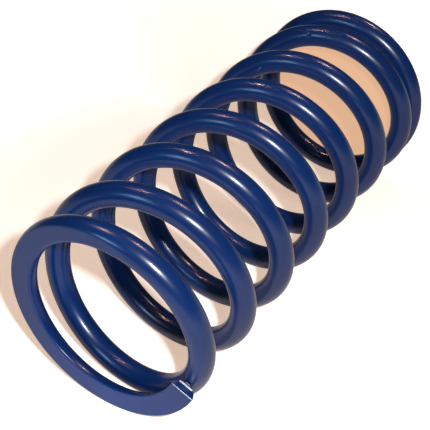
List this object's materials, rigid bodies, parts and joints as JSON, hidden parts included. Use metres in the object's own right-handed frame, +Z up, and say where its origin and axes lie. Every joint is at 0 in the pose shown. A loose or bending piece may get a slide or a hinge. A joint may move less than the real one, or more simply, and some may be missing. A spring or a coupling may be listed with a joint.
{
  "type": "coilover spring",
  "caption": "Cylindrical compression coil spring of round steel wire with closed, flat-ground ends and gloss blue paint, for fitting round a suspension damper.",
  "frame": {"origin": "centre of the lower ground face, on the coil's axis", "axes": "+Z up along the coil's axis, from the lower ground face to the upper one"},
  "size_m": [0.0826, 0.0826, 0.1905],
  "materials": {
    "blue_paint": "gloss"
  },
  "bodies": {
    "root": {"coil_spring": "blue_paint"}
  },
  "joints": []
}
